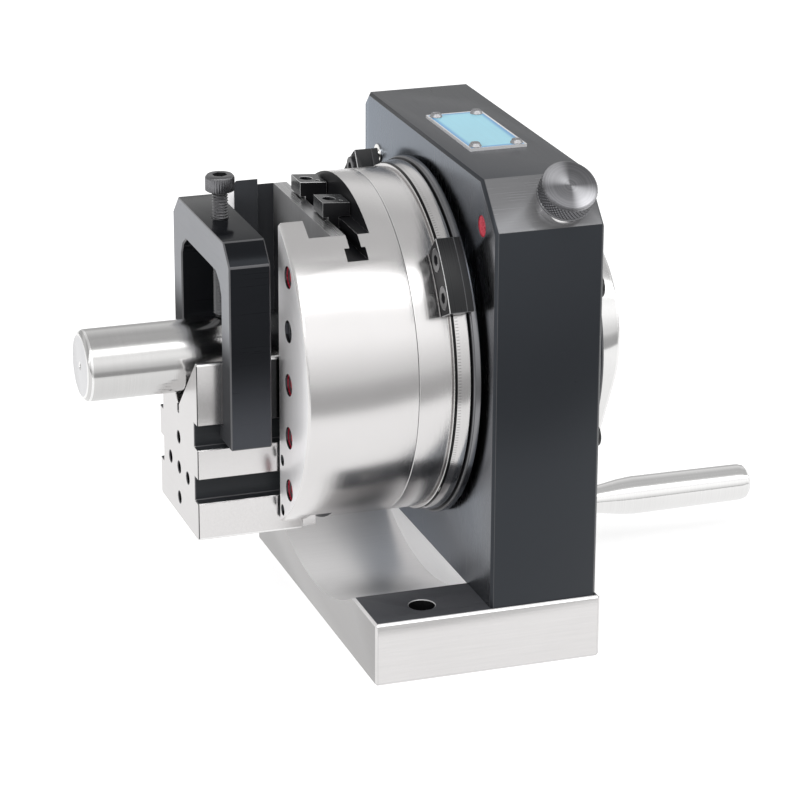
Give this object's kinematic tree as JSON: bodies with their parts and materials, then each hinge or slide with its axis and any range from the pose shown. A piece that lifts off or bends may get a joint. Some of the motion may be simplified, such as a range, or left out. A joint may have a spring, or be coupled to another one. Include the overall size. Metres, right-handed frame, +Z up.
{
  "type": "punch former",
  "caption": "Indexing punch former: base and housing, hand-cranked spindle head with T-slot slide, V-block, screw clamp yoke and round punch.",
  "frame": {"origin": "on the bench, under the spindle axis, in the plane of the housing's front face", "axes": "+X along the spindle from the punch to the crank, +Z up, -Y is the side the picture is taken from"},
  "size_m": [0.1844, 0.1055, 0.127],
  "materials": {
    "ground_steel": "ground bright steel",
    "black_steel": "blackened steel, satin",
    "screw_black": "blackened cap screws",
    "bronze": "turned bronze",
    "plate_aluminium": "bare plate, pale blue field",
    "screw_bright": "bright steel screws",
    "wax_red": "red sealing wax",
    "polished_steel": "polished"
  },
  "bodies": {
    "base_body": {"base": "ground_steel", "housing": "black_steel", "housing_screws": "screw_black", "housing_dowels": "screw_bright", "name_plate": "plate_aluminium", "plate_screws": "screw_bright", "cover_ring": "ground_steel", "cover_screws": "screw_black", "front_bush": "bronze", "rear_cap": "black_steel", "rear_bush": "bronze", "cap_screws": "screw_black", "index_bush": "ground_steel", "index_collar": "polished_steel", "bush_lock_screw": "screw_black", "bush_seal": "wax_red", "oiler": "bronze", "index_spring": "screw_bright"},
    "spindle_body": {"spindle": "ground_steel", "rotor_head": "ground_steel", "scale_ring": "ground_steel", "ring_screws": "screw_black", "head_screws": "screw_black", "wax_seals": "wax_red", "slide_lock_screws": "screw_black", "index_plate": "ground_steel", "index_key": "screw_black", "lock_nut": "screw_black", "crank_arm": "polished_steel", "crank_key": "screw_black", "crank_screw": "screw_black", "crank_washer": "ground_steel", "crank_handle": "polished_steel"},
    "slide_body": {"v_block": "ground_steel", "slide_plate": "ground_steel", "slide_screws": "screw_black", "height_screw": "screw_black"},
    "yoke_body": {"yoke": "black_steel"},
    "clamp_screw_body": {"clamp_screw": "screw_black"},
    "punch_body": {"punch": "polished_steel"},
    "near_stop_body": {"near_slot_stop": "black_steel", "near_slot_screw": "screw_black"},
    "far_stop_body": {"far_slot_stop": "black_steel", "far_slot_screw": "screw_black"},
    "near_dog_body": {"near_dog": "black_steel", "near_dog_keeper": "black_steel", "near_dog_screws": "screw_black"},
    "far_dog_body": {"far_dog": "black_steel", "far_dog_keeper": "black_steel", "far_dog_screws": "screw_black"},
    "index_pin_body": {"index_pin": "ground_steel", "index_knob": "polished_steel"}
  },
  "joints": [
    {"name": "spindle_turn", "type": "hinge", "parent": "base_body", "child": "spindle_body", "pos_m": [0, 0, 0.07135], "axis": [1, 0, 0], "continuous": true},
    {"name": "slide_set", "type": "slide", "parent": "spindle_body", "child": "slide_body", "axis": [0, 0, 1], "range_m": [-0.008, 0.006]},
    {"name": "yoke_slide", "type": "slide", "parent": "slide_body", "child": "yoke_body", "axis": [1, 0, 0], "range_m": [-0.006, 0.0034]},
    {"name": "clamp_screw_lift", "type": "slide", "parent": "yoke_body", "child": "clamp_screw_body", "axis": [0, 0, 1], "range_m": [0, 0.012]},
    {"name": "punch_slide", "type": "slide", "parent": "slide_body", "child": "punch_body", "axis": [1, 0, 0], "range_m": [-0.025, 0.005]},
    {"name": "near_stop_slide", "type": "slide", "parent": "spindle_body", "child": "near_stop_body", "axis": [0, 1, 0], "range_m": [-0.01, 0.004]},
    {"name": "far_stop_slide", "type": "slide", "parent": "spindle_body", "child": "far_stop_body", "axis": [0, 1, 0], "range_m": [-0.004, 0.01]},
    {"name": "near_dog_turn", "type": "hinge", "parent": "spindle_body", "child": "near_dog_body", "pos_m": [0, 0, 0.07135], "axis": [1, 0, 0], "range_deg": [-60, 80]},
    {"name": "far_dog_turn", "type": "hinge", "parent": "spindle_body", "child": "far_dog_body", "pos_m": [0, 0, 0.07135], "axis": [1, 0, 0], "range_deg": [-80, 60]},
    {"name": "index_pin_slide", "type": "slide", "parent": "base_body", "child": "index_pin_body", "axis": [0, 0.7071, -0.7071], "range_m": [0, 0.0034]}
  ]
}
